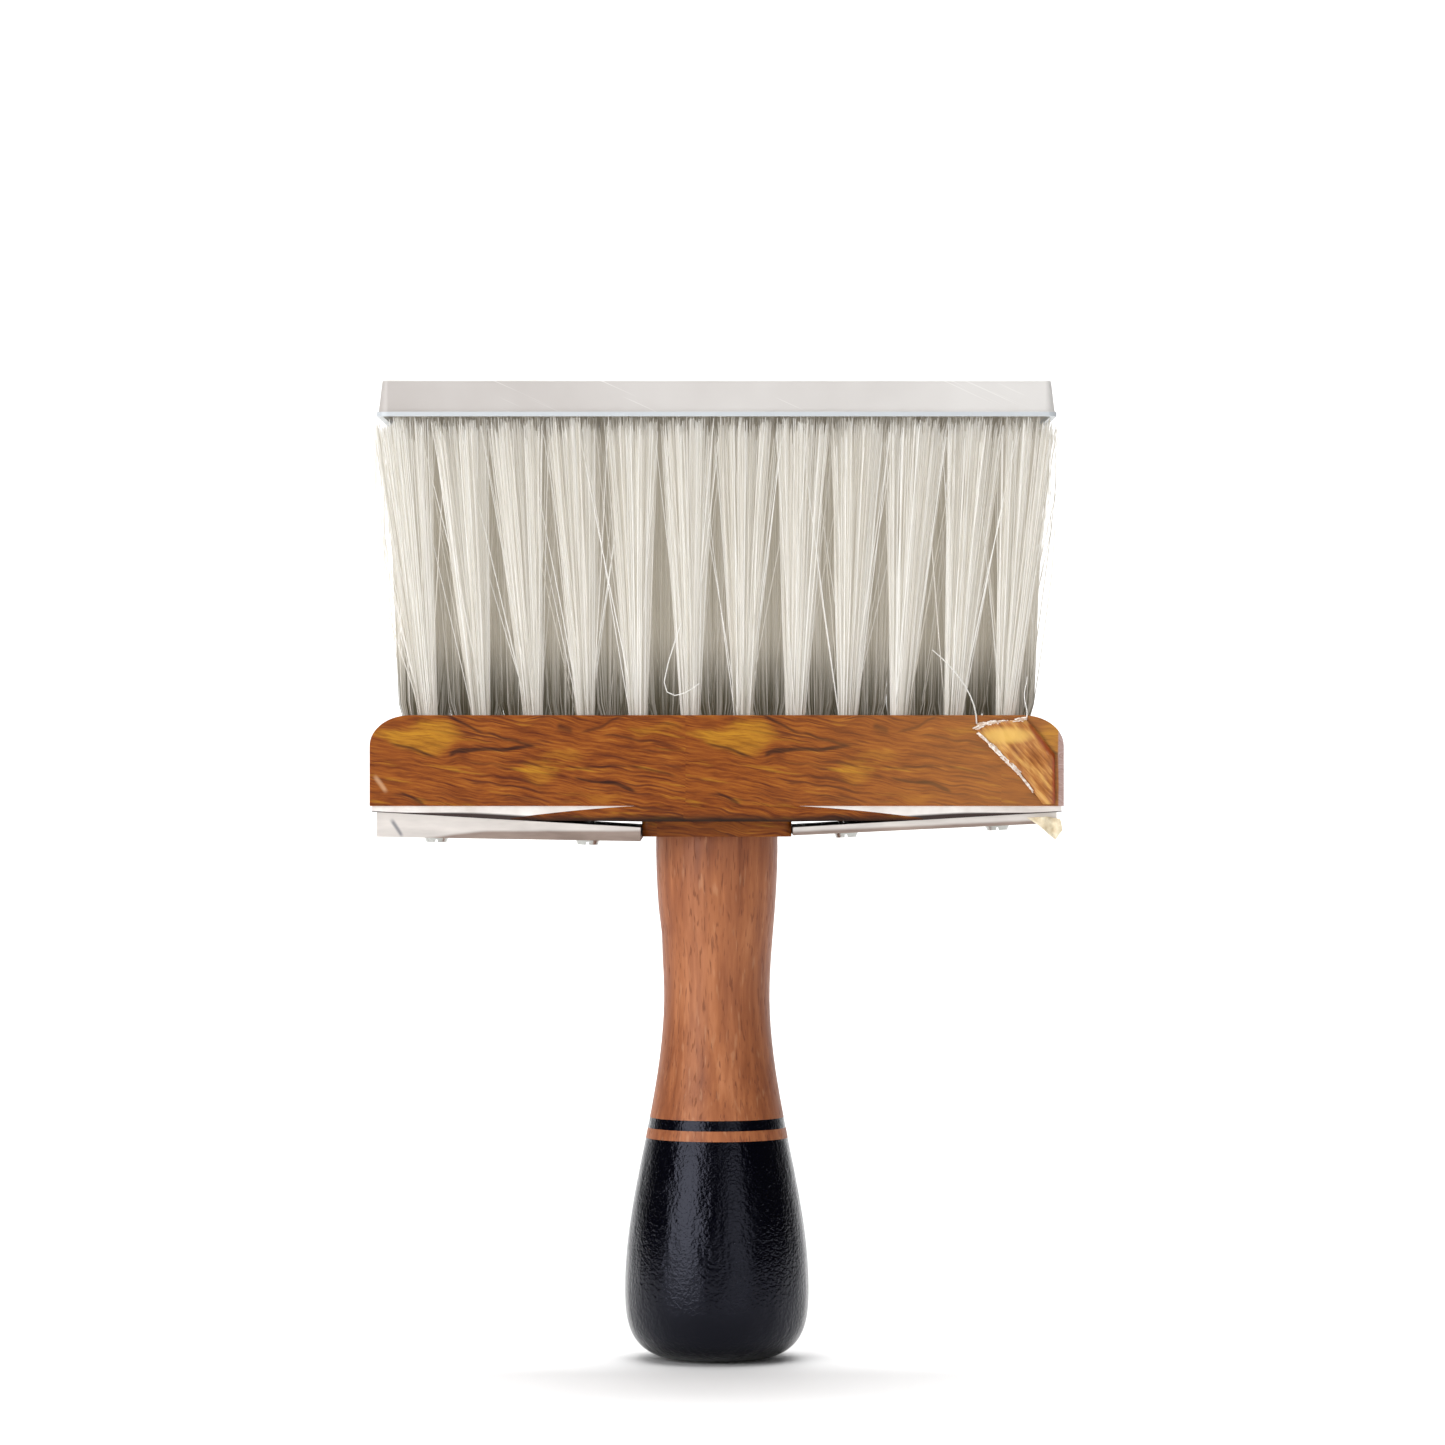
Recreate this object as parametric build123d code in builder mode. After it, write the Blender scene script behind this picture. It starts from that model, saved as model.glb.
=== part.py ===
"""A barber's neck duster: a wire-drawn block brush on a short turned handle.

Millimetres, +Z up. The origin is the centre of the handle's flat foot. X runs along the
brush head and -Y is the front. From the foot upwards: the handle with its lacquered
bulb, a square collar, a saddle let into the block, the block with four rows of tufts
drawn in by wires, thin boards that hide the wires, and a guard slid over the tips.
"""

import os
from math import radians, tan

from build123d import *

os.makedirs("parts", exist_ok=True)

# ---------------------------------------------------------------- driving dimensions
# Handle: heights above the foot and the radii there
handle_length = 92.0
foot_radius = 7.0
heel_radius, heel_height = 15.0, 4.6
bulb_radius, bulb_height = 16.2, 12.5
shoulder_radius, shoulder_height = 14.9, 26.5
throat_radius, throat_height = 11.7, 43.0
waist_radius, waist_height = 9.3, 64.0
neck_radius, handle_top_radius = 10.15, 10.7

# Lacquer coats, sunk flush in the wood
coat_thickness = 0.3
dip_height = 38.9
bare_stripe = 1.8
ring_height = 1.8

# Collar and saddle between the handle and the block
collar_side = 26.0
collar_thickness = 2.7
collar_corner_radius = 1.2
saddle_half_length = 35.6
saddle_end_thickness = 0.3
saddle_crown = 2.5
saddle_upsweep = 0.3

# Block: a pale core in a printed foil
block_width = 120.0
block_depth = 36.0
foil_height = 15.7
foil_thickness = 0.35
foil_reveal = 1.0
block_corner_x, block_corner_z = 7.0, 5.3
board_angle = 3.35

# Tufts
hole_radius = 1.75
hole_depth = 9.0
tuft_clearance = 0.05
tuft_tip_radius = 3.9
tuft_tip_round = 1.4
outer_tuft_height = 50.9
inner_tuft_height = 55.2
row_pitch = 8.0
wide_pitch, close_pitch = 9.0, 8.7
tuft_margin = 7.5
splay_x, splay_y = 0.6, 2.4

# Draw wires
wire_radius = 0.25
wire_leg_half_gap = 0.45
wire_apex_bend = 0.42
wire_back_bend = 0.6
wire_tail = 2.5
wire_hole_radius = 0.85
wire_hook_height = 1.3
wire_slot_length, wire_slot_width = 1.7, 0.65
wire_slot_roof = 0.6
groove_width = 0.9
groove_over_saddle = 0.75
groove_roof_gap = 0.1
groove_overrun = 1.25

# Back boards and their screws
board_gap = 0.2
board_end_setback = 1.2
board_side_setback = 0.5
left_board_inner, left_board_outer = 2.4, 4.3
right_board_inner, right_board_outer = 1.4, 1.9
screw_radius = 1.2
screw_head_radius = 2.2
screw_head_height = 1.1
screw_head_draft = 20.0
screw_slot_width, screw_slot_depth = 0.5, 0.5
screw_shank = 9.0
screw_point, screw_point_draft = 1.6, 30.0
screw_setback = 9.5
screw_clearance = 0.2

# Dowel screw that joins the handle to the block
dowel_radius = 2.5
dowel_in_handle = 22.0
dowel_in_block = 5.4
dowel_point = 2.2
dowel_clearance = 0.25
bore_allowance = 0.8
drill_start = 1.0

# Bristle guard
guard_wall = 0.9
guard_top_wall = 1.1
guard_overlap = 3.6
guard_headroom = 1.6
guard_draft = 7.0
guard_corner_radius = 1.8
guard_rim_round = 0.4
guard_end_clearance = 0.35
guard_side_clearance = 0.4
guard_lip_height, guard_lip_proud = 0.8, 0.2

# ---------------------------------------------------------------- heights and fits
board_slope = tan(radians(board_angle))
ring_base = dip_height + bare_stripe
mask_width = 4 * bulb_radius
saddle_base = handle_length + collar_thickness
saddle_end_base = saddle_base + saddle_upsweep
core_half_width = block_width / 2 - foil_thickness
core_depth = block_depth - 2 * foil_thickness


def underside(x):
    """Height of the sloping underside of the block, or of its line carried inwards."""
    return saddle_end_base + (abs(x) - saddle_half_length) * board_slope


core_end_base = underside(core_half_width)
foil_base = core_end_base + foil_reveal
block_top = foil_base + foil_height
saddle_end_top = saddle_end_base + saddle_end_thickness
saddle_top = saddle_end_top + saddle_crown
groove_top = saddle_top + groove_over_saddle
wire_level = groove_top - groove_roof_gap - wire_radius
tuft_radius = hole_radius - tuft_clearance

# As many tufts as fit at the close pitch, and one fewer in the other rows, so that
# neighbouring rows stay staggered at any width
close_count = int((block_width - 2 * tuft_margin) / close_pitch) + 1
wide_count = close_count - 1

# Each row: its distance from the middle, how many tufts, their pitch and height
rows = [
    (-1.5 * row_pitch, wide_count, wide_pitch, outer_tuft_height),
    (-0.5 * row_pitch, close_count, close_pitch, inner_tuft_height),
    (0.5 * row_pitch, wide_count, wide_pitch, inner_tuft_height),
    (1.5 * row_pitch, close_count, close_pitch, outer_tuft_height),
]
row_half_spans = [(count - 1) * pitch / 2 for _, count, pitch, _ in rows]
lean_x = tan(radians(splay_x)) / max(row_half_spans)
lean_y = tan(radians(splay_y)) / rows[-1][0]


def row_plane(y):
    """The leaning upright plane that a row's tufts and wire lie in, seen from the front."""
    return Plane(origin=(0, y, block_top), x_dir=(1, 0, 0), z_dir=(0, -1, y * lean_y))


def tuft_planes(y, count, pitch):
    """One plane on the block's top for each tuft of a row, square to the tuft."""
    planes = []
    for index in range(count):
        x = (index - (count - 1) / 2) * pitch
        across = Vector(1, 0, -x * lean_x)
        upwards = Vector(x * lean_x, y * lean_y, 1)
        planes.append(Plane(origin=(x, y, block_top), x_dir=across, z_dir=upwards))
    return planes


all_tuft_planes = [plane for y, count, pitch, _ in rows for plane in tuft_planes(y, count, pitch)]


def board_corners(side, inner, outer):
    """A back board's outline: along the block's underside, and down to its own face."""
    x_inner = collar_side / 2 + board_gap
    x_outer = block_width / 2 - board_end_setback
    return [
        (side * x_inner, underside(x_inner)),
        (side * x_outer, underside(x_outer)),
        (side * x_outer, underside(x_outer) - outer),
        (side * x_inner, underside(x_inner) - inner),
    ]


def screw_planes(corners):
    """A plane at each screw head's seat on the board's lower face, looking down."""
    outer, inner = Vector(*corners[2]), Vector(*corners[3])
    along = (outer - inner).normalized()
    planes = []
    for seat in (inner + along * screw_setback, outer - along * screw_setback):
        run = Vector(along.X, 0, along.Y)
        down = Vector(0, 1, 0).cross(run)
        down = down if down.Z < 0 else -down
        planes.append(Plane(origin=(seat.X, 0, seat.Y), x_dir=run, z_dir=down))
    return planes


left_board = board_corners(-1, left_board_inner, left_board_outer)
right_board = board_corners(1, right_board_inner, right_board_outer)
all_screw_planes = screw_planes(left_board) + screw_planes(right_board)


def block_outline(inset, base):
    """Draws the block's end-rounded outline, down to a given height."""
    half = block_width / 2 - inset
    top = block_top - inset
    round_x, round_z = block_corner_x - inset, block_corner_z - inset
    Line((half, base), (half, top - round_z))
    EllipticalCenterArc((half - round_x, top - round_z), round_x, round_z, 0, arc_size=90)
    Line((half - round_x, top), (round_x - half, top))
    EllipticalCenterArc((round_x - half, top - round_z), round_x, round_z, 90, arc_size=90)
    Line((-half, top - round_z), (-half, base))


# ---------------------------------------------------------------- turned handle
with BuildSketch(Plane.XZ) as handle_half:
    with BuildLine():
        side = Spline(
            (foot_radius, 0),
            (heel_radius, heel_height),
            (bulb_radius, bulb_height),
            (shoulder_radius, shoulder_height),
            (throat_radius, throat_height),
            (waist_radius, waist_height),
            (neck_radius, (waist_height + handle_length) / 2),
            (handle_top_radius, handle_length),
        )
        Polyline(side @ 1, (0, handle_length), (0, 0), side @ 0)
    make_face()

with BuildSketch(Plane.XZ) as under_coat:
    with Locations((-coat_thickness, coat_thickness)):
        add(handle_half.sketch_local)

with BuildSketch(Plane.XZ) as dip_half:
    with Locations((0, dip_height / 2)):
        Rectangle(mask_width, dip_height)
    add(handle_half.sketch_local, mode=Mode.INTERSECT)
    add(under_coat.sketch_local, mode=Mode.SUBTRACT)
    with Locations((0, dip_height / 2)):
        Rectangle(2 * foot_radius, dip_height, mode=Mode.SUBTRACT)

with BuildSketch(Plane.XZ) as ring_half:
    with Locations((0, ring_base + ring_height / 2)):
        Rectangle(mask_width, ring_height)
    add(handle_half.sketch_local, mode=Mode.INTERSECT)
    add(under_coat.sketch_local, mode=Mode.SUBTRACT)
    with Locations((0, ring_base + ring_height / 2)):
        Rectangle(2 * foot_radius, ring_height, mode=Mode.SUBTRACT)

with BuildPart() as handle_black_dip:
    add(dip_half.sketch)
    revolve(axis=Axis.Z)

with BuildPart() as handle_black_ring:
    add(ring_half.sketch)
    revolve(axis=Axis.Z)

with BuildPart() as handle:
    with BuildSketch(Plane.XZ) as wood_half:
        add(handle_half.sketch_local)
        add(dip_half.sketch_local, mode=Mode.SUBTRACT)
        add(ring_half.sketch_local, mode=Mode.SUBTRACT)
    revolve(axis=Axis.Z)
    with Locations((0, 0, handle_length)):
        Hole(dowel_radius, dowel_in_handle + bore_allowance)

# ---------------------------------------------------------------- dowel screw
dowel_base = handle_length - dowel_in_handle
dowel_tip = saddle_top + dowel_in_block
with BuildPart() as dowel_screw:
    with BuildSketch(Plane.XZ):
        Polygon(
            (0, dowel_base),
            (dowel_radius, dowel_base + dowel_point),
            (dowel_radius, dowel_tip - dowel_point),
            (0, dowel_tip),
            align=None,
        )
    revolve(axis=Axis.Z)

# ---------------------------------------------------------------- collar and saddle
with BuildPart() as handle_collar:
    with BuildSketch(Plane.XY.offset(handle_length)):
        RectangleRounded(collar_side, collar_side, collar_corner_radius)
        Circle(dowel_radius + dowel_clearance, mode=Mode.SUBTRACT)
    extrude(amount=collar_thickness)

with BuildPart() as handle_saddle:
    with BuildSketch(Plane.XZ):
        with BuildLine():
            Polyline(
                (-saddle_half_length, saddle_end_top),
                (-saddle_half_length, saddle_end_base),
                (-collar_side / 2, saddle_base),
                (collar_side / 2, saddle_base),
                (saddle_half_length, saddle_end_base),
                (saddle_half_length, saddle_end_top),
            )
            ThreePointArc(
                (saddle_half_length, saddle_end_top),
                (0, saddle_top),
                (-saddle_half_length, saddle_end_top),
            )
        make_face()
    extrude(amount=core_depth / 2, both=True)
    with Locations((0, 0, saddle_top)):
        Hole(dowel_radius + dowel_clearance)
    with Locations(*all_screw_planes):
        Hole(screw_radius, screw_shank + screw_point)

# ---------------------------------------------------------------- block core
with BuildPart() as stock_core:
    with BuildSketch(Plane.XZ):
        with BuildLine():
            block_outline(foil_thickness, core_end_base)
            Polyline(
                (-core_half_width, core_end_base),
                (-saddle_half_length, saddle_end_base),
                (-saddle_half_length, saddle_end_top),
            )
            ThreePointArc(
                (-saddle_half_length, saddle_end_top),
                (0, saddle_top),
                (saddle_half_length, saddle_end_top),
            )
            Polyline(
                (saddle_half_length, saddle_end_top),
                (saddle_half_length, saddle_end_base),
                (core_half_width, core_end_base),
            )
        make_face()
    extrude(amount=core_depth / 2, both=True)
    with Locations(*[plane.offset(drill_start) for plane in all_tuft_planes]):
        Hole(hole_radius, hole_depth + drill_start)
    with Locations(*all_tuft_planes):
        Hole(wire_hole_radius, block_top - groove_top + drill_start)
    for (y, _, _, _), half_span in zip(rows, row_half_spans):
        with BuildSketch(row_plane(y)):
            with Locations((0, groove_top - block_top)):
                Rectangle(
                    2 * (half_span + wire_tail + groove_overrun),
                    block_top - saddle_base,
                    align=(Align.CENTER, Align.MAX),
                )
        extrude(amount=groove_width / 2, both=True, mode=Mode.SUBTRACT)
    with Locations((0, 0, dowel_tip + bore_allowance)):
        Hole(dowel_radius)
    with Locations(*all_screw_planes):
        Hole(screw_radius, screw_shank + screw_point)

# ---------------------------------------------------------------- printed foil
with BuildPart() as stock_foil:
    with BuildSketch(Plane.XZ):
        with BuildLine():
            block_outline(0, foil_base)
            Line((-block_width / 2, foil_base), (block_width / 2, foil_base))
        make_face()
    extrude(amount=block_depth / 2, both=True)
    with BuildSketch(Plane.XZ):
        with BuildLine():
            block_outline(foil_thickness, saddle_base)
            Line((-core_half_width, saddle_base), (core_half_width, saddle_base))
        make_face()
    extrude(amount=core_depth / 2, both=True, mode=Mode.SUBTRACT)
    with Locations(*[plane.offset(drill_start) for plane in all_tuft_planes]):
        Hole(hole_radius, hole_depth)

# ---------------------------------------------------------------- back boards and screws
boards = {"back_cover_left": left_board, "back_cover_right": right_board}
for board_name, corners in boards.items():
    with BuildPart() as back_cover:
        with BuildSketch(Plane.XZ):
            Polygon(*corners, align=None)
        extrude(amount=block_depth / 2 - board_side_setback, both=True)
        with Locations(*screw_planes(corners)):
            Hole(screw_radius + screw_clearance)
    back_cover.part.label = board_name
    export_step(back_cover.part, f"parts/{board_name}.step")

with BuildPart() as cover_screws:
    with BuildSketch(*all_screw_planes):
        Circle(screw_head_radius)
    extrude(amount=screw_head_height, taper=screw_head_draft)
    with BuildSketch(*[plane.offset(screw_head_height) for plane in all_screw_planes]):
        Rectangle(screw_slot_width, 2 * screw_head_radius)
    extrude(amount=-screw_slot_depth, mode=Mode.SUBTRACT)
    with BuildSketch(*all_screw_planes):
        Circle(screw_radius)
    extrude(amount=-screw_shank)
    with BuildSketch(*[plane.offset(-screw_shank) for plane in all_screw_planes]):
        Circle(screw_radius)
    extrude(amount=-screw_point, taper=screw_point_draft)

# ---------------------------------------------------------------- tufts
below = (Align.CENTER, Align.CENTER, Align.MAX)
above = (Align.CENTER, Align.CENTER, Align.MIN)
for number, (y, count, pitch, height) in enumerate(rows, start=1):
    planes = tuft_planes(y, count, pitch)
    with BuildPart() as tufts_row:
        with Locations(*planes):
            Cylinder(tuft_radius, hole_depth, align=below)
            Cone(tuft_radius, tuft_tip_radius, height, align=above)
        rims = tufts_row.edges().filter_by(GeomType.CIRCLE).sort_by(SortBy.RADIUS)
        fillet(rims[-count:], tuft_tip_round)
        with Locations(*[plane.offset(-hole_depth) for plane in planes]):
            Box(
                wire_slot_length,
                wire_slot_width,
                wire_hook_height + wire_slot_roof,
                align=above,
                mode=Mode.SUBTRACT,
            )
    tufts_row.part.label = f"tufts_row_{number}"
    export_step(tufts_row.part, f"parts/tufts_row_{number}.step")

# ---------------------------------------------------------------- draw wires
leg = Vector(wire_leg_half_gap, 0, 0)
for number, (y, count, pitch, _) in enumerate(rows, start=1):
    route = []
    for plane in tuft_planes(y, count, pitch):
        back = plane.origin + plane.z_dir * ((wire_level - block_top) / plane.z_dir.Z)
        hook = plane.origin - plane.z_dir * (hole_depth - wire_hook_height)
        route += [back - leg, hook - leg, hook + leg, back + leg]
    tail = Vector(wire_tail, 0, 0)
    bends = [wire_back_bend, wire_apex_bend, wire_apex_bend, wire_back_bend] * count
    with BuildPart() as draw_wire:
        with BuildLine() as wire_path:
            FilletPolyline(route[0] - tail, *route, route[-1] + tail, radius=bends)
        with BuildSketch(Plane(origin=wire_path.line @ 0, z_dir=wire_path.line % 0)):
            Circle(wire_radius)
        sweep()
    draw_wire.part.label = f"draw_wire_row_{number}"
    export_step(draw_wire.part, f"parts/draw_wire_row_{number}.step")

# ---------------------------------------------------------------- bristle guard
guard_base = block_top + inner_tuft_height - guard_overlap
guard_height = guard_overlap + guard_headroom + guard_top_wall
cavity_height = guard_height - guard_top_wall
tips_half_width = max(row_half_spans) + tan(radians(splay_x)) * inner_tuft_height + tuft_tip_radius
tips_half_depth = rows[-1][0] * (1 + lean_y * outer_tuft_height) + tuft_tip_radius
draft_gain = cavity_height * tan(radians(guard_draft))
cavity_width = 2 * (tips_half_width + guard_end_clearance + draft_gain)
cavity_depth = 2 * (tips_half_depth + guard_side_clearance)
guard_width = cavity_width + 2 * guard_wall
guard_depth = cavity_depth + 2 * guard_wall
with BuildPart() as bristle_guard:
    with BuildSketch(Plane.XY.offset(guard_base)):
        RectangleRounded(guard_width, guard_depth, guard_corner_radius)
    extrude(amount=guard_height, taper=guard_draft)
    fillet(bristle_guard.faces().sort_by(Axis.Z)[-1].edges(), guard_rim_round)
    with BuildSketch(Plane.XY.offset(guard_base)):
        RectangleRounded(
            guard_width + 2 * guard_lip_proud,
            guard_depth + 2 * guard_lip_proud,
            guard_corner_radius + guard_lip_proud,
        )
    extrude(amount=guard_lip_height)
    with BuildSketch(Plane.XY.offset(guard_base)):
        RectangleRounded(cavity_width, cavity_depth, guard_corner_radius - guard_wall)
    extrude(amount=cavity_height, taper=guard_draft, mode=Mode.SUBTRACT)

# ---------------------------------------------------------------- labels and files
single_parts = {
    "handle": handle,
    "handle_black_dip": handle_black_dip,
    "handle_black_ring": handle_black_ring,
    "dowel_screw": dowel_screw,
    "handle_collar": handle_collar,
    "handle_saddle": handle_saddle,
    "stock_core": stock_core,
    "stock_foil": stock_foil,
    "cover_screws": cover_screws,
    "bristle_guard": bristle_guard,
}
for part_name, builder in single_parts.items():
    builder.part.label = part_name
    export_step(builder.part, f"parts/{part_name}.step")
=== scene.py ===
# %% [markdown]
# # A barber's neck duster
#
# The brush is modelled in CAD already: its wooden handle, block, boards, wires and guard
# have their true sizes there. This lesson gives it its looks. The CAD pieces whose shape
# is right keep it and get a finish, and the plain solids that stand for the tufts are
# replaced by real fibres. Everything is in metres, with Z up, and the front faces -Y.

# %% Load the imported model
import math

import bmesh
import bpy
import numpy as np
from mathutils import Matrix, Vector, noise


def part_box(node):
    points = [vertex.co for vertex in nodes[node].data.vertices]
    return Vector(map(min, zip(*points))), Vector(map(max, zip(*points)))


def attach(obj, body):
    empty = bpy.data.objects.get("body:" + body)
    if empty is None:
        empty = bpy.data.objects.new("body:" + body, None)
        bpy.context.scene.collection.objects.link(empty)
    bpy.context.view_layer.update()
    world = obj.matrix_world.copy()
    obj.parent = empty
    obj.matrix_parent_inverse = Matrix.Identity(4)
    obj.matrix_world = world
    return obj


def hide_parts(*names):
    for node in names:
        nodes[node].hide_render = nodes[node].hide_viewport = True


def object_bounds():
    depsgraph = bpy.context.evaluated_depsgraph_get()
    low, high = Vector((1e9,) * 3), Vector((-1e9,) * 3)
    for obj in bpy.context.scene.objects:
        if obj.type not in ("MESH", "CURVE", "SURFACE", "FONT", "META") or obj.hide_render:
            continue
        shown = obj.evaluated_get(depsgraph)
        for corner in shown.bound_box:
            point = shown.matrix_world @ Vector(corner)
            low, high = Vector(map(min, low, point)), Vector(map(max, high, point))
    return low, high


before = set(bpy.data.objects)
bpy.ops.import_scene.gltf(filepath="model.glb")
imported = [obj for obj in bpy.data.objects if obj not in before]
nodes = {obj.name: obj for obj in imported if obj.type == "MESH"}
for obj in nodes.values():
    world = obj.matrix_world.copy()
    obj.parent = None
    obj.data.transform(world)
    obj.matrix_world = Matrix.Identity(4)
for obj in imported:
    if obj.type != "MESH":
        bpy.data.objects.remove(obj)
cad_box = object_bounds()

MM = 0.001
height = cad_box[1].z
print("nodes", len(nodes), "height", round(height, 4))

# %% [markdown]
# ## Places to measure from
#
# Pieces made here are put where the CAD says. The few places that matter are read once:
# the foil that wraps the block, the guard over the tips and the axis of every tuft. A
# tuft's foot is the middle of its lowest points, and the feet of a row are told apart by
# the gaps between them. The tips stand further out than the feet, by the same share in
# the whole row, so the last tip gives the place of every other.

# %% Measure the block, the guard and the tufts
foil_low, foil_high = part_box("stock_foil")
guard_low, guard_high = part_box("bristle_guard")
block_top = foil_high.z


def tuft_axes(name):
    """(foot, tip) of every tuft in a row, from its CAD mesh."""
    points = np.array([v.co for v in nodes[name].data.vertices])
    low, high = points[:, 2].min(), points[:, 2].max()
    base = points[points[:, 2] < low + 0.3 * MM]
    base = base[np.argsort(base[:, 0])]
    breaks = np.where(np.diff(base[:, 0]) > 2 * MM)[0] + 1
    feet = [(group.min(axis=0) + group.max(axis=0)) / 2 for group in np.split(base, breaks)]
    top = points[points[:, 2] > high - 3 * MM]
    tip_radius = np.ptp(top[:, 1]) / 2
    stretch = (top[:, 0].max() - tip_radius) / feet[-1][0]
    tip_y = top[:, 1].min() + tip_radius
    return [(foot, np.array([foot[0] * stretch, tip_y, high])) for foot in feet]


row_names = sorted(name for name in nodes if name.startswith("tufts_row"))
rows = {name: tuft_axes(name) for name in row_names}
print({name: len(axes) for name, axes in rows.items()})

# %% [markdown]
# ## The view
#
# The brush is seen straight from the front, from about a metre away, with the lens at
# two thirds of its height. A long lens keeps the uprights nearly parallel. The camera
# comes first, because the lights and the finishes are judged through it.

# %% Camera
camera_distance = 1.0
view_width = 0.2543
camera_data = bpy.data.cameras.new("camera")
camera_data.sensor_width = 36
camera_data.lens = camera_data.sensor_width * camera_distance / view_width
camera_data.clip_start = 0.05
camera = bpy.data.objects.new("camera", camera_data)
camera.location = (0.001, -camera_distance, 0.654 * height)
camera.rotation_euler = (math.radians(90), 0, 0)
bpy.context.scene.collection.objects.link(camera)
bpy.context.scene.camera = camera
print("lens", round(camera_data.lens, 1), "mm")

# %% [markdown]
# ## The studio
#
# The floor turns into its backdrop with no line: one strip of edges is swept back, up a
# quarter turn and on upwards, so floor and wall are one sheet. Two soft boxes stand in
# front, and their size and place show as the two long reflections in the black lacquer.
# A third lights the front, one above lights the floor, and one lights the wall. The white
# world is very dim and only lifts the shadows.

# %% Floor and backdrop
def new_object(name, mesh_data):
    """Links a new object that carries the mesh."""
    made = bpy.data.objects.new(name, mesh_data)
    bpy.context.scene.collection.objects.link(made)
    return made


def mesh_from(bm, name, smooth=True):
    """Turns a finished bmesh into a named mesh, smooth or with flat faces."""
    mesh = bpy.data.meshes.new(name)
    for face in bm.faces:
        face.smooth = smooth
    bm.to_mesh(mesh)
    bm.free()
    return mesh


def sweep_edges(bm, edges, step):
    """Extrudes edges by a step and returns the new ones."""
    out = bmesh.ops.extrude_edge_only(bm, edges=edges)["geom"]
    verts = [g for g in out if isinstance(g, bmesh.types.BMVert)]
    bmesh.ops.translate(bm, verts=verts, vec=step)
    return [g for g in out if isinstance(g, bmesh.types.BMEdge)]


def backdrop_mesh():
    """A floor that curves up into a wall, as one sheet."""
    half_width, front, back, bend, wall = 4.0, -4.0, 1.2, 0.8, 3.0
    bm = bmesh.new()
    ends = [bm.verts.new((side * half_width, front, 0)) for side in (-1, 1)]
    edges = [bm.edges.new(ends)]
    edges = sweep_edges(bm, edges, (0, back - front, 0))
    turned = bmesh.ops.spin(
        bm,
        geom=edges + list({v for e in edges for v in e.verts}),
        cent=(0, back, bend),
        axis=(1, 0, 0),
        angle=math.radians(90),
        steps=24,
    )["geom_last"]
    sweep_edges(bm, [g for g in turned if isinstance(g, bmesh.types.BMEdge)], (0, 0, wall))
    bmesh.ops.recalc_face_normals(bm, faces=bm.faces)
    return mesh_from(bm, "backdrop")


backdrop = new_object("backdrop", backdrop_mesh())
print("backdrop faces", len(backdrop.data.polygons))

# %% Soft lights and the dim white world
def soft_box(name, place, aim, width, tall, radiance):
    """A rectangular area light that faces a point and shows as a panel of this radiance."""
    data = bpy.data.lights.new(name, "AREA")
    data.shape = "RECTANGLE"
    data.size, data.size_y = width, tall
    data.energy = radiance * width * tall * math.pi
    light = bpy.data.objects.new(name, data)
    light.location = place
    facing = Vector(aim) - Vector(place)
    light.rotation_euler = facing.to_track_quat("-Z", "Y").to_euler()
    bpy.context.scene.collection.objects.link(light)
    return light


soft_box("left_box", (-0.55, -0.60, 0.25), (0, 0, 0.04), 0.6, 0.48, 4.2)
soft_box("right_box", (0.55, -1.15, 0.27), (0, 0, 0.05), 0.7, 0.5, 1.4)
soft_box("key_box", (-0.15, -0.85, 1.0), (0, 0, 0.1), 0.9, 0.9, 0.8)
soft_box("top_box", (0.0, -0.05, 1.3), (0, 0, 0.1), 1.0, 1.0, 4.0)
soft_box("wall_box", (0.0, 0.6, 1.6), (0, 1.9, 0.2), 2.2, 0.6, 11.0)

room = bpy.data.worlds.new("room")
room.use_nodes = True
room.node_tree.nodes["Background"].inputs["Color"].default_value = (1, 1, 1, 1)
room.node_tree.nodes["Background"].inputs["Strength"].default_value = 0.06
bpy.context.scene.world = room
bpy.context.scene.view_settings.view_transform = "Standard"

# %% [markdown]
# ## Writing materials as sums
#
# A shader is a graph of nodes, but it reads best as arithmetic. `Value` wraps a socket so
# that `a * 2 + b` adds the Math nodes, and `Paint` makes a material and adds any other
# node from its type, its settings and its inputs. Colours are mixed through Mix nodes.

# %% Value and Paint
class Value:
    """A socket in a material's graph, with arithmetic."""

    def __init__(self, paint, socket):
        self.paint, self.socket = paint, socket

    def calc(self, operation, *terms):
        inputs = dict(enumerate(terms))
        return self.paint.node("ShaderNodeMath", inputs, operation=operation)

    def __add__(self, other):
        return self.calc("ADD", self, other)

    def __sub__(self, other):
        return self.calc("SUBTRACT", self, other)

    def __rsub__(self, other):
        return self.calc("SUBTRACT", other, self)

    def __mul__(self, other):
        return self.calc("MULTIPLY", self, other)

    def __truediv__(self, other):
        return self.calc("DIVIDE", self, other)

    __radd__ = __add__
    __rmul__ = __mul__

    def absolute(self):
        return self.calc("ABSOLUTE", self)

    def wrap(self, low, high):
        return self.calc("WRAP", self, high, low)

    def ramp(self, low, high, start=0.0, end=1.0):
        """A smooth step that goes from start to end as the value goes from low to high."""
        inputs = {"Value": self, "From Min": low, "From Max": high, "To Min": start, "To Max": end}
        return self.paint.node("ShaderNodeMapRange", inputs, interpolation_type="SMOOTHSTEP")


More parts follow.
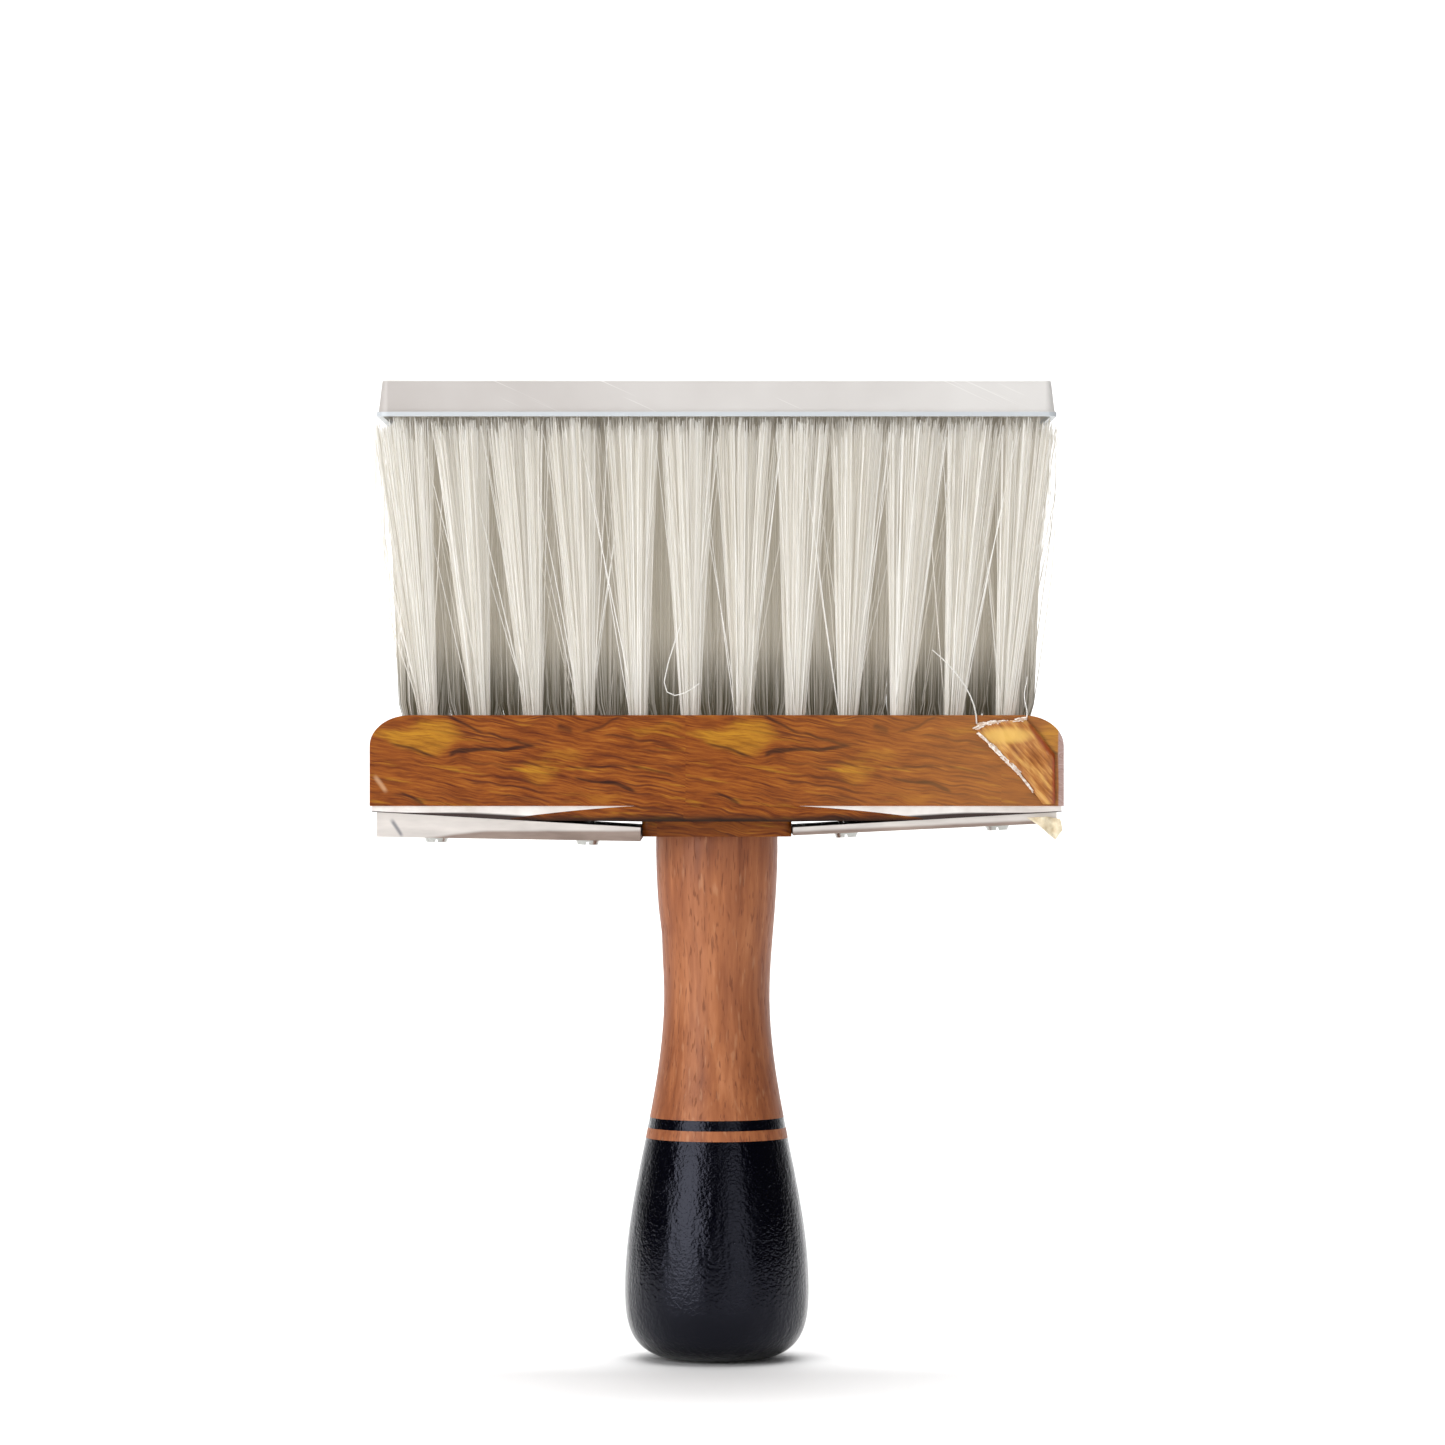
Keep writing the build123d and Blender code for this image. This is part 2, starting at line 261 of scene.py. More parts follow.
class Paint:
    """A material, its Principled shader and short ways to add nodes to it."""

    def __init__(self, name, **constants):
        self.material = bpy.data.materials.new(name)
        self.material.use_nodes = True
        self.tree = self.material.node_tree
        self.shader = self.tree.nodes["Principled BSDF"]
        for key, value in constants.items():
            self.shader.inputs[self.socket_name(key)].default_value = value

    @staticmethod
    def socket_name(key):
        """The name on the shader's socket, such as Base Color for base_color."""
        return key.replace("_", " ").title().replace("Ior", "IOR")

    def node(self, kind, inputs=None, output=0, stops=None, **settings):
        """Adds a node: settings first, then its inputs, which are numbers or Values."""
        made = self.tree.nodes.new(kind)
        for key, value in settings.items():
            setattr(made, key, value)
        if stops:
            self.set_stops(made.color_ramp, stops)
        for key, value in (inputs or {}).items():
            if isinstance(value, Value):
                self.tree.links.new(value.socket, made.inputs[key])
            else:
                made.inputs[key].default_value = value
        return Value(self, made.outputs[output])

    def set_stops(self, ramp, stops):
        """Gives a colour ramp its stops, each a place and a colour."""
        while len(ramp.elements) < len(stops):
            ramp.elements.new(1.0)
        for element, (place, colour) in zip(ramp.elements, stops):
            element.position = place
            element.color = (*colour, 1)

    def place(self):
        """The surface's Object coordinates in metres, whole and as X, Y and Z."""
        spot = self.node("ShaderNodeTexCoord", output="Object")
        return spot, [
            self.node("ShaderNodeSeparateXYZ", {0: spot}, output=axis) for axis in range(3)
        ]

    def vector(self, x, y, z):
        return self.node("ShaderNodeCombineXYZ", {0: x, 1: y, 2: z})

    def noise(self, vector, scale, detail=3.0, roughness=0.55, distortion=0.0):
        inputs = {"Vector": vector, "Scale": scale, "Detail": detail}
        inputs.update({"Roughness": roughness, "Distortion": distortion})
        return self.node("ShaderNodeTexNoise", inputs)

    def blend(self, amount, first, second):
        """Mixes two colours."""
        inputs = {0: amount, 6: first, 7: second}
        return self.node("ShaderNodeMix", inputs, output=2, data_type="RGBA")

    def ramp(self, value, stops):
        return self.node("ShaderNodeValToRGB", {0: value}, stops=stops)

    def drive(self, **sockets):
        """Links Values to the shader's own sockets, such as base_color or roughness."""
        for key, value in sockets.items():
            self.tree.links.new(value.socket, self.shader.inputs[self.socket_name(key)])

    def bump(self, value, strength, distance):
        """Turns a height into the shader's normal."""
        inputs = {"Height": value, "Strength": strength, "Distance": distance}
        self.drive(normal=self.node("ShaderNodeBump", inputs))


def finish_node(name, paint):
    """Gives a CAD node its finish, in its object's material slots."""
    made = nodes[name]
    for slot in made.material_slots:
        slot.link = "OBJECT"
        slot.material = paint.material
    print(name, "wears", paint.material.name)


def rgb(red, green, blue):
    """A display colour from 0 to 255, as the linear light that shaders work in."""
    shares = [channel / 255 for channel in (red, green, blue)]
    return tuple(s / 12.92 if s < 0.04045 else ((s + 0.055) / 1.055) ** 2.4 for s in shares)


floor_paint = Paint("pale_floor", base_color=(0.93, 0.93, 0.93, 1), roughness=0.7)
backdrop.data.materials.append(floor_paint.material)
print("materials ready")

# %% [markdown]
# ## Turned beech
#
# Beech is pinkish brown and nearly even, but full of short dark flecks a millimetre or
# two long that run along the grain, with paler streaks between. Noise stretched along Z
# gives the streaks. The flecks are a finer, longer noise, kept only where it peaks. The
# flecks are pores too, so they are also a little rough and a little deep.

# %% Beech
def beech():
    paint = Paint("turned_beech", specular_ior_level=0.3)
    spot, (x, y, z) = paint.place()
    wander = paint.noise(spot, 55.0, 2.0) - 0.5
    grain = paint.vector(x + wander * 0.0016, y + wander * 0.0016, z * 0.07)
    streak = paint.noise(grain, 900.0, 4.0, 0.6)
    broad = paint.noise(paint.vector(x, y, z * 0.22), 130.0, 2.0)
    pores = paint.noise(paint.vector(x, y, z * 0.11), 2700.0, 1.0)
    pore = pores.ramp(0.60, 0.70)
    rays = paint.noise(paint.vector(x, y, z * 0.16), 1300.0, 1.0)
    pale = rays.ramp(0.60, 0.74, 0.0, 0.3)
    tone = streak * 0.55 + broad * 0.45
    wood = paint.ramp(
        tone,
        [
            (0.30, rgb(118, 63, 36)),
            (0.44, rgb(146, 84, 50)),
            (0.56, rgb(166, 101, 62)),
            (0.70, rgb(184, 119, 79)),
        ],
    )
    wood = paint.blend(pale, wood, (*rgb(198, 146, 108), 1))
    wood = paint.blend(pore * 0.55, wood, (*rgb(96, 50, 32), 1))
    # Painted shade: the wood darkens over its top 9 mm, under the collar.
    painted_neck_shade = z.ramp(handle_top - 9 * MM, handle_top, 0.0, 0.35)
    wood = paint.blend(painted_neck_shade, wood, (*rgb(96, 54, 36), 1))
    paint.drive(base_color=wood, roughness=pore * 0.2 + streak * 0.15 + 0.36)
    paint.bump(streak * 0.4 - pore, 0.3, 0.0001)
    return paint


handle_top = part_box("handle")[1].z
beech_paint = beech()
finish_node("handle", beech_paint)

# %% [markdown]
# ## Black lacquer
#
# The bulb and the ring were dipped, so the coat is thick and glossy, and it dried over
# the grain with a slight ripple. The colour is a blue black. Two sizes of bump break up
# the reflections: a broad ripple down the length, and fine pimples like orange peel.

# %% Lacquer
def lacquer():
    paint = Paint(
        "black_lacquer",
        base_color=(*rgb(2, 2, 7), 1),
        specular_ior_level=0.26,
        specular_tint=(0.76, 0.79, 1.0, 1),
    )
    spot, (x, y, z) = paint.place()
    ripple = paint.noise(paint.vector(x, y, z * 0.35), 260.0, 2.0)
    peel = paint.noise(spot, 1700.0, 2.0)
    rough = paint.noise(paint.vector(x, y, z * 0.3), 500.0, 2.0)
    paint.drive(roughness=rough.ramp(0.4, 0.7, 0.10, 0.2))
    paint.bump(ripple + peel * 0.5, 0.36, 0.0007)
    return paint


lacquer_paint = lacquer()
finish_node("handle_black_dip", lacquer_paint)
finish_node("handle_black_ring", lacquer_paint)

# %% [markdown]
# ## Printed wood grain
#
# The block is wrapped in a printed foil, and a print repeats: the same knot and crack
# come back every 54.6 mm. So X is wrapped into one repeat before anything is drawn. The
# pattern is built of long wavy streaks that sink a little to the right, golden patches,
# and one dark crack that runs into a V beside each patch.

# %% Wood-grain print
repeat = 54.6 * MM
print_left = foil_low.x
print_bottom = foil_low.z


def grain_print(name, shade=1.0, wear_and_shade=None):
    """The printed wood grain. A shade below 1 darkens all of it as painted shade, and
    wear_and_shade adds marks of its own to one piece's print: marks on the foil, painted shade on
    the saddle.
    """
    paint = Paint(name, specular_ior_level=0.25)
    spot, (x, y, z) = paint.place()
    around = y - foil_low.y
    u = (x - print_left + around).wrap(0.0, repeat)
    v = z - print_bottom + around * 0.1
    drift = paint.noise(paint.vector(u, v, 0.0), 90.0, 2.0) - 0.5
    near = streaks(paint, u, v, drift)
    far = streaks(paint, u + repeat, v, drift)
    joined = u.ramp(0.0, 9 * MM)
    fine, dark = (a * joined + b * (1 - joined) for a, b in zip(near, far))
    wood = paint.ramp(
        fine,
        [
            (0.28, rgb(58, 22, 5)),
            (0.40, rgb(100, 44, 9)),
            (0.50, rgb(134, 68, 15)),
            (0.60, rgb(156, 88, 22)),
            (0.72, rgb(184, 124, 42)),
        ],
    )
    wood = paint.blend(dark * 0.75, wood, (*rgb(74, 28, 8), 1))
    golden = 0.0
    for centre, radii, amount in golden_patches:
        golden = ellipse(u, v, centre, radii, drift) * amount + golden
    glints = paint.noise(paint.vector(u * 0.13, v + u * 0.15, 0.9), 620.0, 3.0)
    golden = golden + glints.ramp(0.54, 0.70, 0.0, 0.8)
    golden = golden.ramp(0.0, 1.4, 0.0, 0.9) * fine.ramp(0.34, 0.6, 0.25, 1.0)
    wood = paint.blend(golden, wood, (*rgb(190, 134, 30), 1))
    lines = 0.0
    for start, end, width, amount in dark_lines:
        lines = stroke(u, v, start, end, width, drift) * amount + lines
    lines = lines.ramp(0.0, 1.0) * fine.ramp(0.3, 0.62, 1.0, 0.75)
    wood = paint.blend(lines, wood, (*rgb(42, 14, 5), 1))
    # A shade below 1 darkens the whole print as painted shade.
    if shade < 1:
        wood = paint.blend(1 - shade, wood, (*rgb(36, 18, 8), 1))
    if wear_and_shade:
        wood = wear_and_shade(paint, x, z, wood, drift)
    paint.drive(base_color=wood, roughness=fine.ramp(0.3, 0.7, 0.32, 0.44))
    creases = paint.noise(paint.vector(x, y, z * 0.6), 150.0, 3.0)
    paint.bump(creases + fine * 0.12, 0.12, 0.0009)
    return paint


def streaks(paint, u, v, drift):
    """The fine grain and its darkest threads; it leans down to the right in waves."""
    lean = v + u * 0.15 + drift * 0.0035
    fine = paint.noise(paint.vector(u * 0.07, lean, 0.3), 2300.0, 4.0, 0.7)
    broad = paint.noise(paint.vector(u * 0.2, lean, 0.7), 420.0, 3.0)
    threads = paint.noise(paint.vector(u * 0.06, lean, 0.5), 1500.0, 2.0)
    return fine * 0.7 + broad * 0.3, threads.ramp(0.56, 0.68)


def ellipse(u, v, centre, radii, drift):
    """A soft oval patch of the print: 1 in its middle, 0 outside."""
    across = (u - centre[0] * MM + drift * 0.006) / (radii[0] * MM)
    up = (v - centre[1] * MM + drift * 0.008) / (radii[1] * MM)
    return (across * across + up * up).ramp(0.0, 1.6, 1.0, 0.0)


def stroke(u, v, start, end, width, drift):
    """A dark line of the print from start to end that thins out at both ends."""
    length = math.dist(start, end)
    run = ((end[0] - start[0]) / length, (end[1] - start[1]) / length)
    right, up = u - start[0] * MM, v - start[1] * MM
    along = right * run[0] + up * run[1]
    off = up * run[0] - right * run[1] + drift * 0.0035
    from_middle = (along / (length * MM) * 2 - 1).absolute()
    thick = (off / (width * MM)).absolute().ramp(0.1, 1.2, 1.0, 0.0)
    return thick * from_middle.ramp(0.5, 1.05, 1.0, 0.0)


golden_patches = [
    ((9.7, 11.8), (6.0, 2.6), 1.0),
    ((3.0, 12.6), (4.0, 0.9), 0.6),
    ((33.6, 9.1), (4.2, 1.0), 0.55),
    ((29.0, 5.6), (3.8, 2.2), 0.6),
    ((49.0, 12.6), (5.5, 0.8), 0.5),
    ((40.0, 1.6), (5.0, 0.9), 0.4),
]
dark_lines = [
    ((12.5, 15.6), (20.5, 12.2), 0.40, 0.8),
    ((19.0, 12.9), (29.5, 10.1), 0.36, 0.8),
    ((13.6, 9.0), (29.0, 10.4), 0.46, 1.2),
    ((13.2, 8.9), (17.5, 9.4), 0.75, 0.7),
    ((2.6, 11.3), (12.8, 8.5), 0.40, 0.7),
    ((32.0, 13.9), (35.5, 12.9), 0.85, 0.6),
    ((35.5, 12.8), (45.0, 15.4), 0.40, 0.6),
    ((39.0, 12.7), (50.5, 10.7), 0.34, 0.6),
    ((34.8, 5.3), (41.5, 4.0), 0.36, 0.8),
    ((39.8, 4.5), (46.6, 2.4), 0.44, 1.0),
    ((36.0, 7.0), (46.0, 6.8), 0.30, 0.6),
    ((44.0, 7.4), (54.0, 4.9), 0.40, 0.6),
    ((4.6, 2.1), (10.0, 0.2), 0.40, 0.8),
    ((15.5, 7.6), (27.0, 6.2), 0.28, 0.5),
    ((20.0, 3.8), (31.0, 2.4), 0.26, 0.5),
]


def foil_marks(paint, x, z, wood, drift):
    """A rubbed crease near the left end, a print paler towards the right end, and the bare edge of
    the right end.
    """
    up = z - print_bottom
    crease = stroke(x, up, (-59.4, 5.4), (-57.2, 2.0), 0.5, drift)
    wood = paint.blend(crease * 0.6, wood, (*rgb(206, 164, 124), 1))
    # The print grows paler towards the right end.
    wood = paint.blend(x.ramp(0.0, 60 * MM, 0.0, 0.3), wood, (*rgb(196, 140, 84), 1))
    bare = (x + drift * 0.0006).ramp(58.9 * MM, 59.2 * MM)
    fibres = paint.noise(paint.vector(x, z * 4, drift), 300.0, 4.0)
    board = paint.ramp(
        fibres,
        [
            (0.3, rgb(146, 116, 108)),
            (0.6, rgb(178, 152, 146)),
            (0.8, rgb(206, 188, 180)),
        ],
    )
    return paint.blend(bare, wood, board)


def saddle_painted_shade(paint, x, z, wood, drift):
    """Painted shade: the saddle darkens towards its thin lower edge, over the dark gap above the
    boards.
    """
    # Painted shade, near black at the lower edge.
    painted_edge_shade = (z + drift * 0.0008 - saddle_low.z).ramp(0.2 * MM, 1.7 * MM, 0.94, 0.0)
    return paint.blend(painted_edge_shade, wood, (*rgb(26, 12, 6), 1))


saddle_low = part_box("handle_saddle")[0]
finish_node("stock_foil", grain_print("woodgrain_foil", wear_and_shade=foil_marks))
finish_node("handle_saddle", grain_print("saddle_woodgrain", wear_and_shade=saddle_painted_shade))
# The collar's print is darkened as painted shade, under the block.
finish_node("handle_collar", grain_print("collar_woodgrain_shaded", 0.85))

# %% [markdown]
# ## Plain finishes
#
# The pale core shows only as a white edge under the foil, with painted shade along its
# lower edge. The boards are cream card with painted shade, grey-brown, over their lower
# face, and the metal parts are plain steel. Each still has some life: a cloudy tone, a fine
# fibre in the card and drawn lines on the steel.

# %% Core, boards and steel
saddle_end_level = 95.0 * MM
saddle_half_length = 35.6 * MM
board_slope = 0.0585


def board(name, painted_shade_top, mark=None):
    """Cream card with painted shade, darker and greyer, over its lower face below a wavy line."""
    paint = Paint(name)
    spot, (x, y, z) = paint.place()
    cloud = paint.noise(paint.vector(x * 0.2, y, z), 500.0, 3.0)
    lip = paint.noise(paint.vector(x, y, 0.0), 90.0, 2.0) - 0.5
    # Painted shade: below this wavy line the card turns grey-brown.
    painted_shade_band = (painted_shade_top(x) + lip * 0.0003 - z).ramp(-0.0003, 0.0003)
    cream = paint.ramp(cloud, [(0.3, rgb(194, 187, 182)), (0.7, rgb(218, 211, 205))])
    brown = paint.ramp(cloud, [(0.3, rgb(126, 108, 98)), (0.7, rgb(160, 142, 131))])
    card = paint.blend(painted_shade_band, cream, brown)
    if mark:
        scuff = stroke(x, z, *mark, 0.5, lip)
        card = paint.blend(scuff * 0.8, card, (*rgb(104, 104, 112), 1))
    paint.drive(base_color=card, roughness=cloud * 0.2 + 0.5)
    paint.bump(cloud, 0.3, 0.0001)
    return paint


def core():
    """The pale core, with painted shade along the lower edge, where the gap above the boards is
    dark.
    """
    paint = Paint("pale_core")
    spot, (x, y, z) = paint.place()
    cloud = paint.noise(spot, 160.0, 4.0, 0.6)
    pale = paint.ramp(cloud, [(0.3, rgb(216, 208, 202)), (0.7, rgb(242, 238, 234))])
    out = x.absolute()
    underside = saddle_end_level + (out - saddle_half_length) * board_slope
    reach = out.ramp(40 * MM, 57 * MM, 0.9 * MM, 0.15 * MM)
    # Painted shade: the lower edge turns near black along the gap above the boards.
    painted_shade_mask = ((z - underside) / reach).ramp(0.7, 1.2, 1.0, 0.0)
    paint.drive(base_color=paint.blend(painted_shade_mask, pale, (*rgb(40, 20, 14), 1)))
    paint.drive(roughness=cloud.ramp(0.3, 0.7, 0.5, 0.62))
    paint.bump(cloud, 0.2, 0.0002)
    return paint


def steel(name):
    paint = Paint(name, metallic=1.0, base_color=(*rgb(176, 176, 172), 1))
    spot, (x, y, z) = paint.place()
    drawn = paint.noise(paint.vector(x * 0.1, y, z), 3000.0, 2.0)
    paint.drive(roughness=drawn.ramp(0.3, 0.7, 0.25, 0.42))
    paint.bump(drawn, 0.2, 0.00004)
    return paint


right_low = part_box("back_cover_right")[0]
# Each board's lambda gives the height of its painted shade line.
finish_node(
    "back_cover_left",
    board(
        "card_left",
        lambda x: x.ramp(-54.5 * MM, -38 * MM, 91.6 * MM, 93.1 * MM),
        ((-56.4, 95.3), (-53.9, 92.1)),
    ),
)
finish_node("back_cover_right", board("card_right", lambda x: x * 0.047 + right_low.z + 0.05 * MM))
finish_node("stock_core", core())
steel_paint = steel("steel")
for steel_node in ["cover_screws", "dowel_screw"] + [n for n in nodes if n.startswith("draw_wire")]:
    finish_node(steel_node, steel_paint)

# %% [markdown]
# ## The guard
#
# A light grey plastic channel keeps the tips together. It is satin rather than glossy, and
# a little darker and warmer at the left. Long faint scratches along X vary its roughness,
# and short slanted scuffs are paler.

# %% Guard plastic
def guard_plastic():
    paint = Paint("guard_plastic", specular_ior_level=0.5)
    spot, (x, y, z) = paint.place()
    cloud = paint.noise(spot, 40.0, 3.0)
    long_lines = paint.noise(paint.vector(x * 0.02, y, z + x * 0.01), 2600.0, 2.0)
    leaning = paint.vector((x + z * 2.2) * 0.9, y * 0.3, (z - x * 0.3) * 0.06)
    slanted = paint.noise(leaning, 900.0, 2.0)
    scuff = slanted.ramp(0.66, 0.76, 0.0, 0.5)
    # Darker towards the left end, with a cloudy tone.
    left_to_right_tone = cloud * 0.5 + (x / (4 * guard_high.x)) + 0.25
    grey = paint.ramp(left_to_right_tone, [(0.25, rgb(187, 181, 177)), (0.75, rgb(218, 215, 212))])
    grey = paint.blend(scuff, grey, (*rgb(238, 236, 233), 1))
    # Painted highlight: the lower lip band is painted pale blue-grey, where the rim catches the
    # light.
    lip = (z - guard_low.z).ramp(0.65 * MM, 0.85 * MM, 1.0, 0.0)
    grey = paint.blend(lip, grey, (*rgb(198, 203, 207), 1))
    paint.drive(base_color=grey, roughness=long_lines.ramp(0.3, 0.7, 0.30, 0.46))
    paint.bump(long_lines * 0.5 + scuff, 0.15, 0.00006)
    return paint


finish_node("bristle_guard", guard_plastic())

# %% [markdown]
# ## Bristles
#
# In CAD each tuft is one plain tapered solid. The real one is a bundle of fine fibres
# that leave a hole together, spread, and mix with the next bundle at the tips. One short
# strand is modelled by sweeping a triangle up in steps. Every row is a mesh of thousands
# of copies of it, and each copy is then laid along its own line, so that a fibre costs
# only a few dozen faces. A fibre keeps two attributes for its colour: how far up it each
# point is, and a tone of its own, drawn darker in the inner rows as painted shade.

# %% One strand
random = np.random.default_rng(20)
strand_rings = 9
strand_sides = 3
strand_shares = np.linspace(0, 1, strand_rings) ** 1.5


def strand_mesh():
    """A straight three-sided strand, one metre long, swept up ring by ring."""
    bm = bmesh.new()
    bmesh.ops.create_circle(bm, segments=strand_sides, radius=1.0, cap_ends=False)
    edges = bm.edges[:]
    for _ in range(strand_rings - 1):
        edges = sweep_edges(bm, edges, (0, 0, 1 / (strand_rings - 1)))
    bmesh.ops.contextual_create(bm, geom=edges)
    bmesh.ops.recalc_face_normals(bm, faces=bm.faces)
    return mesh_from(bm, "strand")


strand = strand_mesh()
strand_points = np.array([v.co for v in strand.vertices])
strand_level = np.rint(strand_points[:, 2] * (strand_rings - 1)).astype(int)
strand_around = strand_points[:, :2]
print("strand faces", len(strand.polygons), "points", len(strand_points))

# %% A mesh of strands laid along lines
def lay_strands(name, lines, radii, tones_and_shade):
    """A mesh of strands: lines is (strand, ring, xyz), radii one pair each, tones one each."""
    bm = bmesh.new()
    for _ in range(len(lines)):
        bm.from_mesh(strand)
    mesh = mesh_from(bm, name, smooth=False)
    along = np.gradient(lines, axis=1)
    along /= np.linalg.norm(along, axis=2, keepdims=True)
    across = np.cross(along, (0.0, 1.0, 0.0))
    across /= np.linalg.norm(across, axis=2, keepdims=True)
    out = np.cross(along, across)
    share = strand_shares[None, :, None]
    thick = radii[:, :1, None] * (1 - share) + radii[:, 1:, None] * share
    centre = lines[:, strand_level]
    twist = random.uniform(0, 2 * math.pi, (len(lines), 1))
    angle = np.arctan2(strand_around[:, 1], strand_around[:, 0])[None] + twist
    side = (across * thick)[:, strand_level] * np.cos(angle)[:, :, None]
    front = (out * thick)[:, strand_level] * np.sin(angle)[:, :, None]
    mesh.vertices.foreach_set("co", (centre + side + front).astype(np.float32).ravel())
    rise = np.broadcast_to(strand_shares[strand_level], (len(lines), len(strand_level)))
    tone = np.broadcast_to(tones_and_shade[:, None], rise.shape)
    for label, values in (("rise", rise), ("tone", tone)):
        attribute = mesh.attributes.new(label, "FLOAT", "POINT")
        attribute.data.foreach_set("value", values.astype(np.float32).ravel())
    mesh.update()
    return new_object(name, mesh)


print("strands can be laid")

# %% [markdown]
# ## How a tuft spreads
#
# Fibres leave the hole as a round bundle. Its outer fibres lean out the most, and small
# groups cling together, which is what gives a brush its fine stripes. The two outer rows
# keep a narrow waist, so the tufts read as separate cones low down, while the inner rows
# open sooner and close the gaps. Their roots flare out around the holes, just under the
# foil's surface. The tips are cut uneven, and the inner rows' tips stand inside the
# guard, clear of its walls.

# %% Tuft shapes
hole_radius = 1.6 * MM
root_depth = 0.2 * MM
clumps_per_tuft = 14
tip_scatter = 0.35 * MM
stray_share = 0.1
stray_reach = (3.8 * MM, 1.5 * MM)
sway_size = 0.22 * MM
sway_radians = 4.5
fibre_radius = (0.095 * MM, 0.06 * MM)
cavity_half_width = guard_high.x - 2.3 * MM
cavity_half_depth = guard_high.y - 1.5 * MM
cavity_roof = guard_high.z - 1.5 * MM


def disc(count):
    """Random points in a disc of radius 1."""
    angle = random.uniform(0, 2 * math.pi, count)
    reach = np.sqrt(random.uniform(0, 1, count))
    return np.stack([reach * np.cos(angle), reach * np.sin(angle)], axis=-1)


def tuft_lines(foot, tip, count, shape):
    """The lines of one tuft's fibres, as (fibre, ring, xyz)."""
    axis = (tip - foot) / (tip[2] - foot[2])
    root = foot + axis * (block_top - root_depth - foot[2])
    start = disc(count)
    clumps = disc(clumps_per_tuft)
    nearest = np.argmin(np.linalg.norm(start[:, None] - clumps[None], axis=2), axis=1)
    cling = random.uniform(0.2, 0.85, count)[:, None]
    end = (start * (1 - cling) + clumps[nearest] * cling) * shape["spread"]
    end = end + random.normal(0, tip_scatter, (count, 2))
    stray = random.uniform(0, 1, (count, 1)) < stray_share
    end = end + stray * random.normal(0, 1, (count, 2)) * stray_reach
    top = shape["lowest"] + (shape["highest"] - shape["lowest"]) * random.beta(2.0, 1.3, count)
    share = strand_shares[None, :, None]
    rise = (top - root[2])[:, None] * strand_shares[None, :]
    open_by = share ** shape["opening"]
    flare = np.minimum(0.7 + share / strand_shares[1], 1) * shape["flare"]
    offset = start[:, None] * (hole_radius + flare) * (1 - open_by) + end[:, None] * open_by
    phase = random.uniform(0, 2 * math.pi, (count, 1, 2))
    sway = random.normal(0, sway_size, (count, 1, 2)) * share
    offset = offset + sway * np.sin(sway_radians * share + phase)
    lines = np.empty((count, strand_rings, 3))
    lines[:, :, :2] = root[:2] + axis[:2] * rise[:, :, None] + offset
    lines[:, :, 2] = root[2] + rise
    lines = keep_in_guard(lines)
    widest = np.array([foil_high.x - 0.8 * MM, guard_high.y - 0.4 * MM])
    lines[:, :, :2] = np.clip(lines[:, :, :2], -widest, widest)
    return lines


def keep_in_guard(lines):
    """Shortens the fibres that would pass through the guard's walls or roof."""
    tips = lines[:, -1]
    outside = (np.abs(tips[:, 0]) > cavity_half_width) | (np.abs(tips[:, 1]) > cavity_half_depth)
    below = guard_low.z - random.uniform(0.2, 1.8, len(lines)) * MM
    limit = np.where(outside, below, cavity_roof)
    root = lines[:, :1]
    share = np.clip((limit - root[:, 0, 2]) / (tips[:, 2] - root[:, 0, 2]), 0, 1)
    return root + (lines - root) * share[:, None, None]


outer_row = {
    "spread": (5.2 * MM, 4.2 * MM),
    "opening": 1.0,
    "flare": 0.1 * MM,
    "lowest": guard_low.z - 5.5 * MM,
    "highest": guard_low.z + 0.2 * MM,
    "last_tip": 54.8 * MM,
    "tones_and_shade": (0.3, 1.0),
}
# The inner rows take darker tones, painted shade where the outer rows hide them.
inner_row = {
    "spread": (5.6 * MM, 4.4 * MM),
    "opening": 0.85,
    "flare": 1.8 * MM,
    "lowest": guard_low.z - 1.5 * MM,
    "highest": cavity_roof,
    "last_tip": 52.6 * MM,
    "tones_and_shade": (0.0, 0.6),
}
row_shapes = dict(zip(row_names, (outer_row, inner_row, inner_row, outer_row)))
fibres_per_tuft = 290
print("fibres", fibres_per_tuft * sum(len(axes) for axes in rows.values()))

# %% [markdown]
# ## Light between the fibres
#
# In a real brush light passes from fibre to fibre many times. Two stand-ins give the same
# soft look for less: the fibres give off a faint light of their own, and a share of a
# translucent shader lets light through them. The glow fades towards the tips of the
# darker fibres, which the guard shades. The roots of the darker fibres are darkened olive
# as painted shade.

